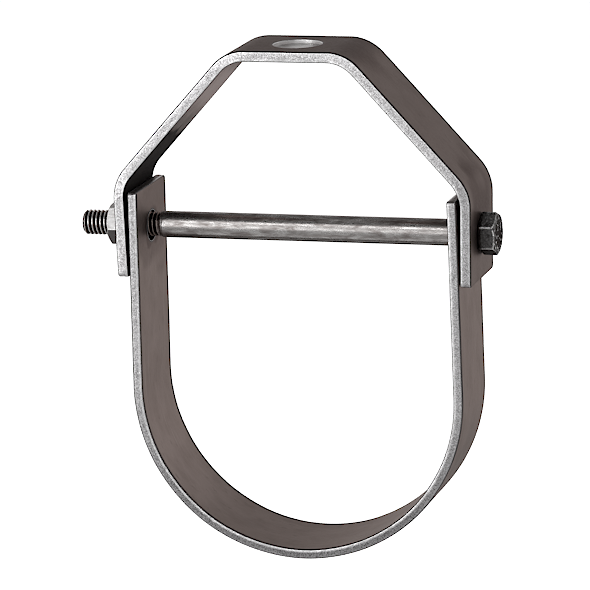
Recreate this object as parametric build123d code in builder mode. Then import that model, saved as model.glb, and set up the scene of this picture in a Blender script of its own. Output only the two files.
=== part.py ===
from build123d import *
import os
from math import cos, radians, sin, tan

# Adjustable clevis hanger for a 114.3 mm (4 in) pipe, hung on a 15.9 mm (5/8 in) rod.
# Millimetres. +Z is up, X runs along the cross bolt with the head at +X, and Y runs along the pipe.
# The origin is the centre of the rod hole, at the middle of the top flat's thickness.

# ---------------------------------------------------------------- driving dimensions
bar_width = 35.0             # both bars, 1 3/8 in
bar_edge_r = 0.45            # small rolled radius on the bars' long edges

# upper yoke
yoke_t = 4.0                 # bar thickness
rod_hole_d = 18.26           # clearance hole for the 5/8 in hanger rod
bolt_drop = 67.5             # bolt axis below the middle of the top flat
flat_half = 22.9             # half the top flat, to the sharp corner of its bend
shoulder_deg = 47.8          # shoulders fall away from the flat at this angle
ear_outer_x = 68.1           # ear's outer face from the middle, at the bolt axis
ear_lean_deg = 1.0           # ears pulled slightly inwards by the nut
ear_below_bolt = 16.9        # bolt axis to the end of the ear
bend_inner_r = 12.5          # inside radius of the four bends
ear_corner_r = 1.5           # slightly rounded corners of the ear's end

# lower strap
strap_t = 3.6                # bar thickness
saddle_r = 60.1              # inside radius of the U
saddle_drop = 119.5          # bolt axis down to the inside of the U's bottom
leg_lean_deg = 0.6           # legs close in slightly towards the bolt
strap_above_bolt = 14.5      # bolt axis up to the strap's cut ends
strap_corner_r = 1.2

# cross bolt and nut, 3/8 in
shank_d = 9.9                # plain hot-forged body, a little over 3/8 in
thread_d = 9.4               # major diameter; the helical groove is a finish detail
bolt_hole_d = 11.1           # 7/16 in holes in both bars
hole_slack = 0.55            # the bolt rests on the ears and the strap hangs on the bolt
head_seat_x = 68.4
head_h = 6.0
across_flats = 14.29
bolt_end_x = -85.8
thread_start_x = -54.0
nut_seat_x = -68.35
nut_h = 7.1
nut_bore_d = 9.46            # 0.03 mm clear of the thread's major diameter all round
nut_chamfer = 1.15           # axial height of the 30 degree chamfer at the corners
head_turn_deg = 33.0
nut_turn_deg = 7.0

bolt_z = -bolt_drop
across_corners = across_flats / cos(radians(30))


def cross_point(p, d, q, e):
    """Where the line through p along d meets the line through q along e."""
    k = ((q[0] - p[0]) * e[1] - (q[1] - p[1]) * e[0]) / (d[0] * e[1] - d[1] * e[0])
    return (p[0] + k * d[0], p[1] + k * d[1])


# ---------------------------------------------------------------- upper yoke
# Right-hand run of the bar's outer face, then the same run one thickness inwards.
fall = (cos(radians(shoulder_deg)), -sin(radians(shoulder_deg)))
down = (-sin(radians(ear_lean_deg)), -cos(radians(ear_lean_deg)))


def yoke_run(inset):
    """Sharp corners of the bar's face, inset from the outer face, from the flat to the ear's end."""
    top = (0.0, yoke_t / 2 - inset)
    start = (flat_half, yoke_t / 2)
    shoulder = (start[0] + inset * fall[1], start[1] - inset * fall[0])
    ear = (ear_outer_x + inset * down[1], bolt_z - inset * down[0])
    knee = cross_point(top, (1, 0), shoulder, fall)
    elbow = cross_point(shoulder, fall, ear, down)
    end = (ear[0] + ear_below_bolt * down[0], ear[1] + ear_below_bolt * down[1])
    return knee, elbow, end


knee_o, elbow_o, end_o = yoke_run(0.0)
knee_i, elbow_i, end_i = yoke_run(yoke_t)

with BuildPart() as upper_yoke:
    with BuildSketch(Plane.XZ):
        with BuildLine():
            FilletPolyline(
                (-end_o[0], end_o[1]), (-elbow_o[0], elbow_o[1]), (-knee_o[0], knee_o[1]),
                knee_o, elbow_o, end_o,
                radius=bend_inner_r + yoke_t,
            )
            Line(end_o, end_i)
            FilletPolyline(
                end_i, elbow_i, knee_i,
                (-knee_i[0], knee_i[1]), (-elbow_i[0], elbow_i[1]), (-end_i[0], end_i[1]),
                radius=bend_inner_r,
            )
            Line((-end_i[0], end_i[1]), (-end_o[0], end_o[1]))
        make_face()
    extrude(amount=bar_width / 2, both=True)
    # rounded corners at the ears' ends, then the rolled radius along every long edge
    fillet(
        upper_yoke.edges().filter_by(lambda e: e.center().Z < bolt_z - ear_below_bolt + 1
                                     and abs(abs(e.center().Y) - bar_width / 2) < 0.01
                                     and abs(e.length - yoke_t) < 0.01),
        radius=ear_corner_r,
    )
    fillet(upper_yoke.faces().filter_by(Axis.Y).edges(), radius=bar_edge_r)
    # rod hole through the flat, bolt holes through both ears
    with Locations((0, 0, yoke_t / 2)):
        Hole(radius=rod_hole_d / 2, depth=yoke_t)
    with Locations(Plane(origin=(ear_outer_x + 5, 0, bolt_z + hole_slack), z_dir=(1, 0, 0))):
        Hole(radius=bolt_hole_d / 2, depth=2 * (ear_outer_x + 5))
upper_yoke.part.label = "upper_yoke"

# ---------------------------------------------------------------- lower strap
saddle_z = bolt_z - saddle_drop + saddle_r
lean = radians(leg_lean_deg)


def leg(radius, side):
    """Tangent point on the arc and the top of the leg, for one face of the bar."""
    foot = (side * radius * cos(lean), saddle_z + radius * sin(lean))
    run = (bolt_z + strap_above_bolt - saddle_z) / cos(lean)
    return foot, (foot[0] - side * run * sin(lean), foot[1] + run * cos(lean))


inner_r, outer_r = saddle_r, saddle_r + strap_t
foot_ir, top_ir = leg(inner_r, 1)
foot_il, top_il = leg(inner_r, -1)
foot_or, top_or = leg(outer_r, 1)
foot_ol, top_ol = leg(outer_r, -1)

with BuildPart() as lower_strap:
    with BuildSketch(Plane.XZ):
        with BuildLine():
            Line(top_ol, foot_ol)
            ThreePointArc(foot_ol, (0, saddle_z - outer_r), foot_or)
            Line(foot_or, top_or)
            Line(top_or, top_ir)
            Line(top_ir, foot_ir)
            ThreePointArc(foot_ir, (0, saddle_z - inner_r), foot_il)
            Line(foot_il, top_il)
            Line(top_il, top_ol)
        make_face()
    extrude(amount=bar_width / 2, both=True)
    fillet(
        lower_strap.edges().filter_by(lambda e: e.center().Z > bolt_z + strap_above_bolt - 2
                                      and abs(abs(e.center().Y) - bar_width / 2) < 0.01
                                      and abs(e.length - strap_t) < 0.01),
        radius=strap_corner_r,
    )
    fillet(lower_strap.faces().filter_by(Axis.Y).edges(), radius=bar_edge_r)
    with Locations(Plane(origin=(outer_r + 5, 0, bolt_z - hole_slack), z_dir=(1, 0, 0))):
        Hole(radius=bolt_hole_d / 2, depth=2 * (outer_r + 5))
lower_strap.part.label = "lower_strap"

# ---------------------------------------------------------------- cross bolt
bolt_axis = Axis((0, 0, bolt_z), (1, 0, 0))

with BuildPart() as cross_bolt:
    # hexagonal head, its outer corners turned off at 30 degrees
    with BuildSketch(Plane(origin=(head_seat_x, 0, bolt_z), x_dir=(0, 1, 0), z_dir=(1, 0, 0))):
        RegularPolygon(radius=across_corners / 2, side_count=6, rotation=head_turn_deg)
    extrude(amount=head_h)
    with BuildSketch(Plane.XZ):
        with BuildLine():
            Polyline(
                (head_seat_x, bolt_z),
                (head_seat_x, bolt_z + across_corners / 2 + 0.2),
                (head_seat_x + head_h - 0.9, bolt_z + across_corners / 2 + 0.2),
                (head_seat_x + head_h, bolt_z + across_corners / 2 + 0.2 - 0.9 / tan(radians(30))),
                (head_seat_x + head_h, bolt_z),
                close=True,
            )
        make_face()
    revolve(axis=bolt_axis, revolution_arc=360, mode=Mode.INTERSECT)
    # plain shank and threaded end, with a small lead-in chamfer
    with BuildSketch(Plane.XZ):
        with BuildLine():
            Polyline(
                (head_seat_x + 1, bolt_z),
                (head_seat_x + 1, bolt_z + shank_d / 2),
                (thread_start_x, bolt_z + shank_d / 2),
                (thread_start_x - 0.6, bolt_z + thread_d / 2),
                (bolt_end_x + 1.0, bolt_z + thread_d / 2),
                (bolt_end_x, bolt_z + thread_d / 2 - 1.0),
                (bolt_end_x, bolt_z),
                close=True,
            )
        make_face()
    revolve(axis=bolt_axis, revolution_arc=360)
cross_bolt.part.label = "cross_bolt"

# ---------------------------------------------------------------- hex nut
with BuildPart() as hex_nut:
    with BuildSketch(Plane(origin=(nut_seat_x - nut_h, 0, bolt_z), x_dir=(0, 1, 0), z_dir=(1, 0, 0))):
        RegularPolygon(radius=across_corners / 2, side_count=6, rotation=nut_turn_deg)
    extrude(amount=nut_h)
    # both faces turned off at 30 degrees, bore opened with a small countersink at each mouth
    with BuildSketch(Plane.XZ):
        with BuildLine():
            Polyline(
                (nut_seat_x, bolt_z + nut_bore_d / 2 + 0.5),
                (nut_seat_x, bolt_z + across_corners / 2 + 0.2 - nut_chamfer / tan(radians(30))),
                (nut_seat_x - nut_chamfer, bolt_z + across_corners / 2 + 0.2),
                (nut_seat_x - nut_h + nut_chamfer, bolt_z + across_corners / 2 + 0.2),
                (nut_seat_x - nut_h, bolt_z + across_corners / 2 + 0.2 - nut_chamfer / tan(radians(30))),
                (nut_seat_x - nut_h, bolt_z + nut_bore_d / 2 + 0.5),
                (nut_seat_x - nut_h + 0.5, bolt_z + nut_bore_d / 2),
                (nut_seat_x - 0.5, bolt_z + nut_bore_d / 2),
                close=True,
            )
        make_face()
    revolve(axis=bolt_axis, revolution_arc=360, mode=Mode.INTERSECT)
hex_nut.part.label = "hex_nut"

# ---------------------------------------------------------------- numbers worth reading
# The strap's top corners swing up until they meet the inside of the shoulders' bends.
for angle in (0, 12, 14, 15, 16, 18):
    swung = lower_strap.part.rotate(bolt_axis, angle)
    print("strap swung", angle, "deg: gap to the yoke", round(swung.distance_to(upper_yoke.part), 3))
print("room under the bolt", saddle_drop - shank_d / 2, "inside width at the bolt", 2 * (
    foot_ir[0] - (bolt_z - foot_ir[1]) * tan(lean)))

# ---------------------------------------------------------------- files
os.makedirs("parts", exist_ok=True)
export_step(upper_yoke.part, "parts/upper_yoke.step")
export_step(lower_strap.part, "parts/lower_strap.step")
export_step(cross_bolt.part, "parts/cross_bolt.step")
export_step(hex_nut.part, "parts/hex_nut.step")
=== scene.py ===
from math import acos, atan2, ceil, cos, hypot, pi, radians, sin, sqrt, tan

import bmesh
import bpy
import numpy as np
from mathutils import Matrix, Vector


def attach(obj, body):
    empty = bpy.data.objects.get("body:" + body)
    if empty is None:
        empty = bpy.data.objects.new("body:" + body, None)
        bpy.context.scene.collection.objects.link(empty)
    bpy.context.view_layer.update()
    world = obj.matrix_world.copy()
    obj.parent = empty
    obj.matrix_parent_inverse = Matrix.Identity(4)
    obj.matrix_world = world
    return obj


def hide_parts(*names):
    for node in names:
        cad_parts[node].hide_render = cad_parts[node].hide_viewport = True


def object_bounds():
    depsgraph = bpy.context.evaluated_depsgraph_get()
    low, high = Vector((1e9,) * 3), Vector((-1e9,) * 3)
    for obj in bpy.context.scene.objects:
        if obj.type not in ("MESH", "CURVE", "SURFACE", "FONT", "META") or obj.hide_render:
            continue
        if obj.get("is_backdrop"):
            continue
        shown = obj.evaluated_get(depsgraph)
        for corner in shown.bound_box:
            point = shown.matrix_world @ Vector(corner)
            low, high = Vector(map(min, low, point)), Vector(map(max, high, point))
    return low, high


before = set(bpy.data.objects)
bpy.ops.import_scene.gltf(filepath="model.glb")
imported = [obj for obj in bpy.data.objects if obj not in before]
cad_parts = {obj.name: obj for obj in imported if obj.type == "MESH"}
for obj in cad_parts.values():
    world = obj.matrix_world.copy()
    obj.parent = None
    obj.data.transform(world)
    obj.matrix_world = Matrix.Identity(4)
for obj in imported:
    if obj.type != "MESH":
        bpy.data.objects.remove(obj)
cad_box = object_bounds()

# Lengths in this script are millimetres until a mesh is made, which turns them into metres.
MM = 0.001

# ---------------------------------------------------------------- dimensions, as in the CAD
bar_width = 35.0
bar_edge_r = 0.45
yoke_t = 4.0
rod_hole_d = 18.26
bolt_drop = 67.5
flat_half = 22.9
shoulder_deg = 47.8
ear_outer_x = 68.1
ear_lean_deg = 1.0
ear_below_bolt = 16.9
bend_inner_r = 12.5
ear_corner_r = 1.5
strap_t = 3.6
saddle_r = 60.1
saddle_drop = 119.5
leg_lean_deg = 0.6
strap_above_bolt = 14.5
strap_corner_r = 1.2
shank_d = 9.9
thread_d = 9.4
bolt_hole_d = 11.1
hole_slack = 0.55
head_seat_x = 68.4
head_h = 6.0
across_flats = 14.29
bolt_end_x = -85.8
thread_start_x = -54.0
nut_seat_x = -68.35
nut_h = 7.1
nut_chamfer = 1.15
pitch = 25.4 / 16
head_turn_deg = 33.0
nut_turn_deg = 7.0
bolt_z = -bolt_drop
across_corners = across_flats / cos(radians(30))


# ---------------------------------------------------------------- smooth seeded noise
def lattice(ix, iy, iz, seed):
    h = (ix * 73856093) ^ (iy * 19349663) ^ (iz * 83492791) ^ (seed * 40503)
    h = h & 0xFFFFFFFF
    h = ((h ^ (h >> 13)) * 1274126177) & 0xFFFFFFFF
    h = ((h ^ (h >> 16)) * 668265263) & 0xFFFFFFFF
    return ((h ^ (h >> 15)) & 0xFFFFFF) / float(0xFFFFFF) * 2 - 1


def noise(x, y, z, seed):
    """Value noise from -1 to 1 over a unit lattice."""
    x, y, z = np.broadcast_arrays(np.asarray(x, float), np.asarray(y, float), np.asarray(z, float))
    i, j, k = (np.floor(v).astype(np.int64) for v in (x, y, z))
    fx, fy, fz = (v - np.floor(v) for v in (x, y, z))
    fx, fy, fz = (f * f * f * (f * (6 * f - 15) + 10) for f in (fx, fy, fz))
    out = 0.0
    for a in (0, 1):
        for b in (0, 1):
            for c in (0, 1):
                w = (fx if a else 1 - fx) * (fy if b else 1 - fy) * (fz if c else 1 - fz)
                out = out + w * lattice(i + a, j + b, k + c, seed)
    return out


def smooth(x):
    x = np.clip(x, 0.0, 1.0)
    return x * x * (3 - 2 * x)


# ---------------------------------------------------------------- meshes
def make_mesh(name, points, faces, layers):
    """A closed mesh from millimetre points. layers: {attribute: one number or vector for each point}."""
    mesh = bpy.data.meshes.new(name)
    mesh.from_pydata((np.asarray(points) * MM).tolist(), [], faces)
    for key, values in layers.items():
        values = np.asarray(values, np.float32)
        kind = "FLOAT_VECTOR" if values.ndim == 2 else "FLOAT"
        layer = mesh.attributes.new(key, kind, "POINT")
        layer.data.foreach_set("vector" if values.ndim == 2 else "value", values.ravel())
    bm = bmesh.new()
    bm.from_mesh(mesh)
    bmesh.ops.recalc_face_normals(bm, faces=bm.faces[:])
    if bm.calc_volume(signed=True) < 0:
        bmesh.ops.reverse_faces(bm, faces=bm.faces[:])
    open_edges = sum(1 for e in bm.edges if len(e.link_faces) != 2)
    loose = sum(1 for v in bm.verts if not v.link_faces)
    if open_edges or loose:
        raise RuntimeError(f"{name} isn't closed: {open_edges} open edges, {loose} loose points")
    bm.to_mesh(mesh)
    bm.free()
    mesh.shade_smooth()
    obj = bpy.data.objects.new(name, mesh)
    bpy.context.scene.collection.objects.link(obj)
    return obj


def between(a, b, closed=True):
    """Quads between two rows of point numbers."""
    n = len(a)
    return [(a[i], a[(i + 1) % n], b[(i + 1) % n], b[i]) for i in range(n if closed else n - 1)]


def cut_up(keys, steps):
    """Stations from the first key to the last, each run between keys cut to its step."""
    out = [keys[0]]
    for a, b, (step, least) in zip(keys[:-1], keys[1:], steps):
        m = max(least, ceil((b - a) / step - 1e-6))
        out += [a + (b - a) * k / m for k in range(1, m + 1)]
    return np.array(out)


# ---------------------------------------------------------------- the bars' middle lines
class Line:
    def __init__(self, p, q, side):
        self.p, self.length = np.array(p, float), hypot(q[0] - p[0], q[1] - p[1])
        self.d = (np.array(q, float) - self.p) / self.length
        self.normal = side * np.array([-self.d[1], self.d[0]])
        self.bend = False

    def at(self, s, n):
        return (self.p[0] + self.d[0] * s + self.normal[0] * n,
                self.p[1] + self.d[1] * s + self.normal[1] * n)


class Arc:
    def __init__(self, centre, radius, start, end, bend):
        self.c, self.r, self.a, self.b = centre, radius, start, end
        self.length = abs(end - start) * radius
        self.bend = bend

    def at(self, s, n):
        a = self.a + (self.b - self.a) * s / self.length
        return self.c[0] + (self.r + n) * np.cos(a), self.c[1] + (self.r + n) * np.sin(a)


class Path:
    """A bar's middle line in the X-Z plane: straight runs and arcs, with n measured outwards from it."""

    def __init__(self, runs):
        self.runs, self.starts = runs, [0.0]
        for r in runs:
            self.starts.append(self.starts[-1] + r.length)
        self.length = self.starts[-1]

    def at(self, s, n):
        s, n = np.broadcast_arrays(np.asarray(s, float), np.asarray(n, float))
        x, z = np.zeros(s.shape), np.zeros(s.shape)
        for k, run in enumerate(self.runs):
            low = -np.inf if k == 0 else self.starts[k]
            high = np.inf if k == len(self.runs) - 1 else self.starts[k + 1]
            m = (s >= low) & (s < high)
            if m.any():
                x[m], z[m] = run.at(s[m] - self.starts[k], n[m])
        return x, z

    def bend_share(self, s):
        """1 in the middle of each tight bend, falling to 0 a little beyond its ends."""
        out = np.zeros(np.shape(s))
        for k, run in enumerate(self.runs):
            if run.bend:
                mid, reach = self.starts[k] + run.length / 2, run.length / 2 + 2.5
                out = np.maximum(out, 1 - smooth(np.abs(s - mid) / reach))
        return out

    def where_z(self, z, side):
        """s where the middle line crosses the height z, on the run at x of that sign."""
        s = np.linspace(0, self.length, 40001)
        x, zz = self.at(s, 0.0)
        near = np.where(np.sign(x) == side, np.abs(zz - z), 1e9)
        return float(s[np.argmin(near)])


def cross_point(p, d, q, e):
    k = ((q[0] - p[0]) * e[1] - (q[1] - p[1]) * e[0]) / (d[0] * e[1] - d[1] * e[0])
    return (p[0] + k * d[0], p[1] + k * d[1])


def yoke_path():
    fall = (cos(radians(shoulder_deg)), -sin(radians(shoulder_deg)))
    down = (-sin(radians(ear_lean_deg)), -cos(radians(ear_lean_deg)))
    inset = yoke_t / 2
    top = (0.0, yoke_t / 2 - inset)
    shoulder = (flat_half + inset * fall[1], yoke_t / 2 - inset * fall[0])
    ear = (ear_outer_x + inset * down[1], bolt_z - inset * down[0])
    knee = cross_point(top, (1, 0), shoulder, fall)
    elbow = cross_point(shoulder, fall, ear, down)
    end = (ear[0] + ear_below_bolt * down[0], ear[1] + ear_below_bolt * down[1])
    corners = [(-end[0], end[1]), (-elbow[0], elbow[1]), (-knee[0], knee[1]), knee, elbow, end]
    r = bend_inner_r + yoke_t / 2
    runs, at = [], corners[0]
    for a, b, c in zip(corners[:-2], corners[1:-1], corners[2:]):
        h0, h1 = atan2(b[1] - a[1], b[0] - a[0]), atan2(c[1] - b[1], c[0] - b[0])
        turn = h0 - h1
        t = r * tan(turn / 2)
        p = (b[0] - t * cos(h0), b[1] - t * sin(h0))
        q = (b[0] + t * cos(h1), b[1] + t * sin(h1))
        runs.append(Line(at, p, 1))
        centre = (p[0] + r * sin(h0), p[1] - r * cos(h0))
        runs.append(Arc(centre, r, h0 + pi / 2, h1 + pi / 2, True))
        at = q
    runs.append(Line(at, corners[-1], 1))
    return Path(runs)


def strap_path():
    z0, lean, r = bolt_z - saddle_drop + saddle_r, radians(leg_lean_deg), saddle_r + strap_t / 2
    rise = (bolt_z + strap_above_bolt - z0) / cos(lean)
    foot = (r * cos(lean), z0 + r * sin(lean))
    top = (foot[0] - rise * sin(lean), foot[1] + rise * cos(lean))
    return Path([
        Line((-top[0], top[1]), (-foot[0], foot[1]), -1),
        Arc((0.0, z0), r, pi - lean, 2 * pi + lean, False),
        Line(foot, top, -1),
    ])


# ---------------------------------------------------------------- a punched, bent flat bar
def punch_rows(h, roll, tear, burr):
    """Rows down a punched hole: (added radius, height, how much it is bare metal, how worn and how much painted
    highlight).
    """
    rows = [(roll + 0.45, h - 0.006, 0.0, 0.05)]
    for t in np.radians([8, 22, 36, 50, 64, 78, 90]):
        share = (1 - cos(t))
        rows.append((roll * (1 - sin(t)), h - roll * share, min(1.0, 1.5 * share), 0.9 * sin(2 * t) + 0.1))
    low = h - roll
    brk = -0.10 * h
    rows += [(0.0, low + (brk - low) * k / 4, 1.0, 0.25) for k in (1, 2, 3, 4)]
    for k in (0.2, 0.45, 0.7, 0.9):
        rows.append((tear * smooth(k * 1.05) + 0.02, brk + (-h + 0.10 - brk) * k, 1.0, 0.1 + 0.1 * k))
    rows += [(tear + 0.03, -h + 0.03, 0.95, 0.6), (tear + 0.10, -h - burr, 0.8, 1.0),
             (tear + 0.24, -h - burr * 0.9, 0.5, 0.9), (tear + 0.45, -h - burr * 0.35, 0.15, 0.4),
             (tear + 0.72, -h - 0.006, 0.0, 0.1)]
    return rows


def build_bar(name, path, thick, corner_r, holes, seed, bulge, rim, shaded_edges, shaded_bends=(), step=0.6, across=0.72):
    """holes: [(s of the centre, radius, half the block of the grid around it)]. shaded_bends: [(s of a bend,
    direction)], where painted shade goes inside the bend.
    bulge: how far the edges swell. rim: how bare their outer corner is. shaded_edges: (s, reach, share) of the stretch
    whose bare edges get painted shade."""
    half, h, er = bar_width / 2, thick / 2, bar_edge_r
    L = path.length
    bends = [(path.starts[k], path.starts[k + 1]) for k, r in enumerate(path.runs) if r.bend]
    s_keys = {er, corner_r, L - corner_r, L - er}
    y_keys = {half - er, half - corner_r}
    for s, r, block in holes:
        s_keys |= {s - block, s + block}
        y_keys.add(block)
    for a, b in bends:
        s_keys |= {a, b}
    s_keys = sorted(s_keys)
    y_keys = sorted(y_keys | {-y for y in y_keys})

    def s_step(a, b):
        m = (a + b) / 2
        if m < corner_r or m > L - corner_r:
            return (0.4, 4)
        if any(p <= m <= q for p, q in bends):
            return (0.36, 8)
        return (step, 1)

    S = cut_up(s_keys, [s_step(a, b) for a, b in zip(s_keys[:-1], s_keys[1:])])
    Y = cut_up(y_keys, [(0.4, 4) if (abs(a + b) / 2) > half - corner_r else (across, 1)
                        for a, b in zip(y_keys[:-1], y_keys[1:])])
    I, J = len(S) - 1, len(Y) - 1

    # the flat sheet: one grid, with a ring grid around each hole
    gs, gy = np.meshgrid(S, Y, indexing="ij")
    gs, gy = gs.copy(), gy.copy()
    small = corner_r - er
    for left in (True, False):
        for low in (True, False):
            u = (corner_r - gs) / small if left else (gs - (L - corner_r)) / small
            v = ((-gy if low else gy) - (half - corner_r)) / small
            m = (u > 1e-9) & (v > 1e-9)
            uu, vv = u * np.sqrt(1 - v * v / 2, where=m, out=np.zeros_like(u)), v * np.sqrt(
                1 - u * u / 2, where=m, out=np.zeros_like(u))
            gs[m] = (corner_r - uu[m] * small) if left else (L - corner_r + uu[m] * small)
            gy[m] = (-1 if low else 1) * (half - corner_r + vv[m] * small)
    keep = np.ones((I + 1, J + 1), bool)
    cell = np.ones((I, J), bool)
    blocks = []
    for s, r, block in holes:
        i0, i1 = int(np.argmin(abs(S - (s - block)))), int(np.argmin(abs(S - (s + block))))
        j0, j1 = int(np.argmin(abs(Y + block))), int(np.argmin(abs(Y - block)))
        keep[i0 + 1:i1, j0 + 1:j1] = False
        cell[i0:i1, j0:j1] = False
        blocks.append((i0, i1, j0, j1))
    number = -np.ones((I + 1, J + 1), int)
    number[keep] = np.arange(keep.sum())
    sheet = [np.column_stack([gs[keep], gy[keep]])]
    count = int(keep.sum())
    quads = []
    ii, jj = np.nonzero(cell)
    quads += np.column_stack([number[ii, jj], number[ii + 1, jj], number[ii + 1, jj + 1],
                              number[ii, jj + 1]]).tolist()
    rims, bores = [], []
    for (s, r, block), (i0, i1, j0, j1) in zip(holes, blocks):
        edge = [(i, j0) for i in range(i0, i1)] + [(i1, j) for j in range(j0, j1)]
        edge += [(i, j1) for i in range(i1, i0, -1)] + [(i0, j) for j in range(j1, j0, -1)]
        ids = [int(number[i, j]) for i, j in edge]
        ns, nj = i1 - i0, j1 - j0
        angle = []
        for k, m in enumerate((ns, nj, ns, nj)):
            angle += [radians(-135 + 90 * k + 90 * q / m) for q in range(m)]
        angle = np.array(angle)
        square = np.array([[S[i] - s, Y[j]] for i, j in edge])
        rim_r = r + 1.6
        circle = rim_r * np.column_stack([np.cos(angle), np.sin(angle)])
        rings = max(2, round((block * 1.08 - rim_r) / 0.7))
        last = ids
        for q in range(1, rings + 1):
            pts = square + (circle - square) * (q / rings)
            sheet.append(pts + [s, 0.0])
            now = list(range(count, count + len(pts)))
            count += len(pts)
            quads += between(last, now)
            last = now
        rims.append((s, r, angle, last))
    sheet = np.vstack(sheet)

    # the outline of the sheet, with the direction outwards at each point
    loop = [(i, 0) for i in range(I)] + [(I, j) for j in range(J)]
    loop += [(i, J) for i in range(I, 0, -1)] + [(0, j) for j in range(J, 0, -1)]
    loop_ids = [int(number[i, j]) for i, j in loop]
    lp = sheet[loop_ids]
    out = np.zeros_like(lp)
    for k, (s, y) in enumerate(lp):
        cs = min(max(s, corner_r), L - corner_r)
        cy = min(max(y, -(half - corner_r)), half - corner_r)
        d = np.array([s - cs, y - cy])
        i, j = loop[k]
        out[k] = d / np.hypot(*d)
    # the ends are cut faces, the long sides are the bar's own rolled edges
    end_share = np.abs(out[:, 0]) ** 2

    pos_s, pos_y, pos_n, edge_a, wear_and_highlight_a, rim_a = [], [], [], [], [], []

    def put(s, y, n, edge, wear_and_highlight, rim):
        m = len(s)
        base = sum(len(a) for a in pos_s)
        for store, value in ((pos_s, s), (pos_y, y), (pos_n, n), (edge_a, edge), (wear_and_highlight_a, wear_and_highlight), (rim_a, rim)):
            store.append(np.broadcast_to(np.asarray(value, float), (m,)).copy())
        return list(range(base, base + m))

    # how near a hole's rim each point of the sheet is
    near = np.zeros(len(sheet))
    for s, r, block in holes:
        d = np.hypot(sheet[:, 0] - s, sheet[:, 1]) - r
        near = np.maximum(near, 1 - smooth(d / 5.5))
    zero = np.zeros(len(sheet))
    top = put(sheet[:, 0], sheet[:, 1], zero + h, 0.0, 0.0, near)
    bottom = put(sheet[:, 0], sheet[:, 1], zero - h, 0.0, 0.0, near)
    faces = [tuple(top[i] for i in q) for q in quads]
    faces += [tuple(bottom[i] for i in reversed(q)) for q in quads]

    # rolled long edges and cut ends: a small radius, the edge's face, a small radius
    rows = 6
    profile = [(er * sin(a), h - er * (1 - cos(a)), a / (pi / 2), 1) for a in np.radians([22.5, 45, 67.5, 90])]
    flat = h - er
    profile += [(er, flat - 2 * flat * k / rows, 1.0, 0) for k in range(1, rows)]
    border = flat - 2 * flat / rows - 0.05
    profile += [(o, -n, e, -1) for o, n, e, _ in reversed(profile[:4])]
    last = [top[i] for i in loop_ids]
    for o, n, e, kind in profile:
        s, y = lp[:, 0] + out[:, 0] * o, lp[:, 1] + out[:, 1] * o
        side = np.where(np.abs(out[:, 1]) > 0.5, np.sign(out[:, 1]) * 40, 0.0)
        grain = (0.05 * noise(s / 1.1, n / 0.9, side, seed + 1) + 0.03 * noise(s / 0.62, n / 0.5, side, seed + 2)
                 + 0.05 * noise(s / 6.0, n / 2.0, side, seed + 3))
        swell = bulge * (1 - (n / h) ** 2) * e
        push = grain * (0.25 + 0.75 * (kind == 0)) * min(1.0, e) + swell
        bite = 0.06 * noise(s / 2.2, side, 0.0, seed + 4) * sin(pi * min(1.0, e) * 0.5) * (kind != 0)
        s, y = s + out[:, 0] * (push + bite), y + out[:, 1] * (push + bite)
        if kind == 1:
            wear_and_highlight, bareness = {0.25: 0.0, 0.5: 0.0, 0.75: 0.1}.get(round(e, 2), 0.6 * rim), rim * smooth((e - 0.60) / 0.46)
        elif kind == -1:
            wear_and_highlight, bareness = {0.25: 0.0, 0.5: 0.0, 0.75: 0.3}.get(round(e, 2), 1.0), smooth((e - 0.50) / 0.48)
        else:
            wear_and_highlight, bareness = (0.14 if n > 0 else 0.30 if rim == 1 else 0.80) * (abs(n) > border), 1.0
        now = put(s, y, n, bareness, wear_and_highlight, near[loop_ids])
        faces += between(last, now)
        last = now
    faces += between(last, [bottom[i] for i in loop_ids])

    # punched holes: rolled over where the punch went in, torn and burred where it came out
    for c, r, angle, ids in rims:
        big = r > 8
        last = [top[i] for i in ids]
        ca, sa = np.cos(angle), np.sin(angle)
        for dr, n, e, w in punch_rows(h, *((0.42, 0.80, 0.04) if big else (0.45, 0.14, 0.08))):
            torn = n < -0.05 * h and e > 0.4
            jag = 0.03 * (1 + noise(ca * r / 0.5, sa * r / 0.5, n / 1.4, seed + 7)) * (1.6 if torn else 0.5) * e
            lip = 0.05 * noise(ca * r / 1.1, sa * r / 1.1, 5.0, seed + 8) * (w > 0.3) * (n < -h + 0.1)
            rr = r + dr + jag
            now = put(c + rr * ca, rr * sa, n + lip, e, w * (1.0 if big else 0.55), 1.0)
            bores.append((now, 1.0 if big else 0.0, 0.0 if big else e))
            faces += between(last, now)
            last = now
        faces += between(last, [bottom[i] for i in ids])

    s, y, n, edge, wear_and_highlight, rim = (np.concatenate(a) for a in (pos_s, pos_y, pos_n, edge_a, wear_and_highlight_a, rim_a))
    # the bar isn't dead flat, and its edges wander a little; the wide faces hold faint rolling marks
    wave = 0.045 * noise(s / 17, y / 13, 3.1, seed + 11) + 0.022 * noise(s / 6.5, y / 5.5, 8.2, seed + 12)
    marks = (0.005 * noise(s / 3.4, y / 0.9, np.sign(n) * 9, seed + 13)
             + 0.012 * noise(s / 1.9, y / 1.7, np.sign(n) * 9, seed + 14)) * (1 - edge)
    wander = 0.09 * noise(s / 26, np.sign(y) * 3, 1.5, seed + 15)
    bent = path.bend_share(s)
    far = (np.abs(y) / half) ** 5
    yy = y + (wander + np.sign(y) * bent * (-n / thick) * 0.55) * far
    nn = n + wave + marks
    x, z = path.at(s, nn)
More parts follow.
